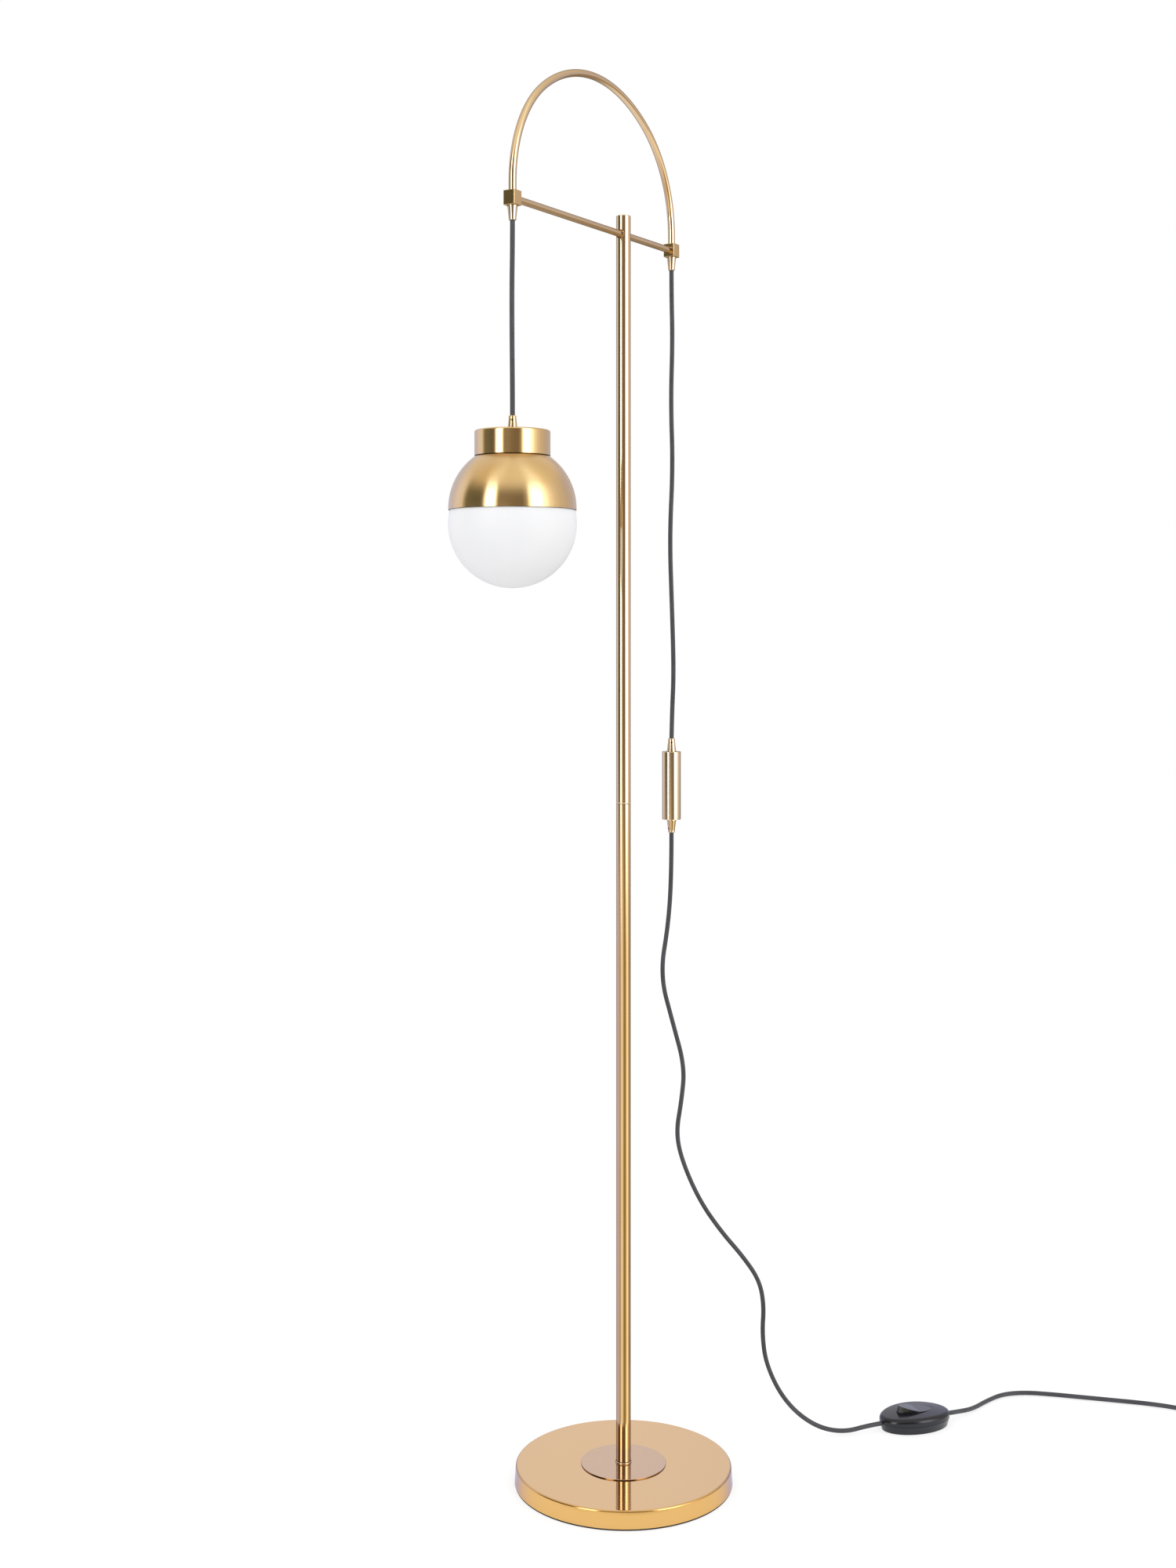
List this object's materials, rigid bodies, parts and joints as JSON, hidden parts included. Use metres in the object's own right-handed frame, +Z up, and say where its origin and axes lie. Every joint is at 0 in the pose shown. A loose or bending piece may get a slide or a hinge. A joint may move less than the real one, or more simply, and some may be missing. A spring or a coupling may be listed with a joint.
{
  "type": "floor lamp",
  "caption": "Brass floor lamp: round base, pole, crossbar and arch; glass globe under a half shade hangs on a flex balanced by a sliding counterweight; foot switch, coil and plug.",
  "frame": {"origin": "on the pole's axis, on the floor under the base's pad", "axes": "+Z up along the pole; +X along the crossbar towards the counterweight, so the lamp hangs on the -X side; +Y across, the object's thinnest way; the loose flex runs off towards +X and -Y"},
  "size_m": [0.8199, 0.771, 1.5347],
  "materials": {
    "satin_brass": "satin, finely brushed or spun",
    "polished_brass": "polished",
    "plain_brass": "as machined",
    "iron": "as cast",
    "steel": "zinc plated",
    "plated_pins": "nickel plated",
    "pad_rubber": "matt",
    "opal_glass": "opal, acid etched",
    "bulb_glass": "frosted",
    "bulb_cap": "plated, threaded look",
    "holder_plastic": "matt",
    "switch_plastic": "glossy, finely stippled",
    "plug_plastic": "matt",
    "flex_sheath": "matt round sheath"
  },
  "bodies": {
    "stand": {"arch_cord": "flex_sheath", "arch_tube": "satin_brass", "bar_collars": "satin_brass", "bar_insert": "plain_brass", "bar_screw": "steel", "base_ballast": "iron", "base_cover": "polished_brass", "base_disc": "polished_brass", "base_nut": "steel", "base_pad": "pad_rubber", "base_stud": "steel", "base_washer": "steel", "block_lamp_side": "satin_brass", "block_weight_side": "satin_brass", "cord_coil": "flex_sheath", "crossbar": "satin_brass", "guide_lamp_side": "satin_brass", "guide_weight_side": "satin_brass", "lead_cord": "flex_sheath", "plug_body": "plug_plastic", "plug_cord": "flex_sheath", "plug_pins": "plated_pins", "pole_cap": "satin_brass", "pole_foot_insert": "plain_brass", "pole_joint_inserts": "plain_brass", "pole_joint_stud": "steel", "pole_lower": "satin_brass", "pole_upper": "satin_brass", "rocker_axle": "steel", "switch_base": "switch_plastic", "switch_cover": "switch_plastic", "switch_screws": "steel", "tail_cord": "flex_sheath", "terminal_block": "holder_plastic", "weight_cord": "flex_sheath"},
    "drop_lead": {"drop_cord": "flex_sheath"},
    "pendant": {"lamp_grip": "satin_brass", "lamp_grip_screw": "steel", "lamp_cord": "flex_sheath", "lamp_cap": "satin_brass", "nipple": "steel", "nipple_nut": "plain_brass", "holder_plate": "steel", "half_shade": "satin_brass", "glass_ring": "plain_brass", "glass_globe": "opal_glass", "holder_cap": "holder_plastic", "holder_body": "holder_plastic", "holder_contacts": "plain_brass", "bulb_cap": "bulb_cap", "bulb_glass": "bulb_glass"},
    "weight": {"weight_body": "satin_brass", "weight_grip_top": "satin_brass", "weight_grip_bottom": "satin_brass", "weight_grip_screws": "steel", "weight_inner_cord": "flex_sheath"},
    "rocker": {"switch_rocker": "switch_plastic"}
  },
  "joints": [
    {"name": "pendant_swing", "type": "hinge", "parent": "stand", "child": "drop_lead", "pos_m": [-0.217, 0, 1.3485], "axis": [0, 1, 0], "range_deg": [-8, 8]},
    {"name": "pendant_travel", "type": "slide", "parent": "drop_lead", "child": "pendant", "axis": [0, 0, 1], "range_m": [-0.53, 0.19], "deforming": ["drop_cord"]},
    {"name": "weight_travel", "type": "slide", "parent": "stand", "child": "weight", "axis": [0, 0, 1], "range_m": [-0.19, 0.53], "deforming": ["weight_cord", "tail_cord"]},
    {"name": "switch_rocker", "type": "hinge", "parent": "stand", "child": "rocker", "pos_m": [0.3107, -0.2132, 0.0165], "axis": [-0.6252, -0.7804, 0], "range_deg": [0, 20]}
  ],
  "couplings": [
    {"joint": "weight_travel", "follows": "pendant_travel", "ratio": -1}
  ]
}
